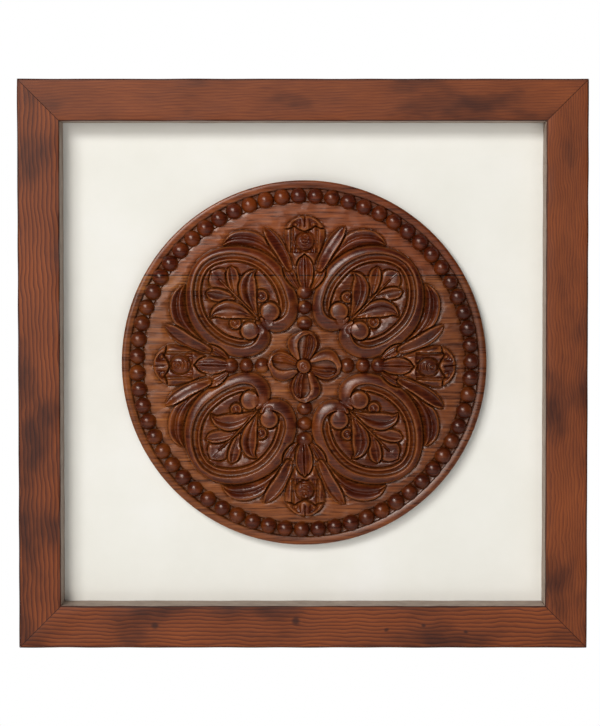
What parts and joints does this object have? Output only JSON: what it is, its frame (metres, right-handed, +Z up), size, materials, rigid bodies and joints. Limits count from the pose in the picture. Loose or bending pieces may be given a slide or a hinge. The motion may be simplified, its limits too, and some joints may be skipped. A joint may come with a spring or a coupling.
{
  "type": "carved wall art",
  "caption": "Square mitred wood frame with a round carved medallion of scrolls, leaves, palmettes and beads on a recessed pale backing board.",
  "frame": {"origin": "middle of the back face of the top rail, where the piece hangs on its wall", "axes": "+X right, +Z up, the front faces -Y and the back lies on Y = 0"},
  "size_m": [0.61, 0.045, 0.61],
  "materials": {
    "frame_wood": "stained, satin",
    "board_paint": "cream paint, matt",
    "carved_wood": "stained and waxed, satin"
  },
  "bodies": {
    "root": {"frame_rail_top": "frame_wood", "frame_rail_left": "frame_wood", "frame_rail_bottom": "frame_wood", "frame_rail_right": "frame_wood", "backing_board": "board_paint", "carved_medallion": "carved_wood"}
  },
  "joints": []
}
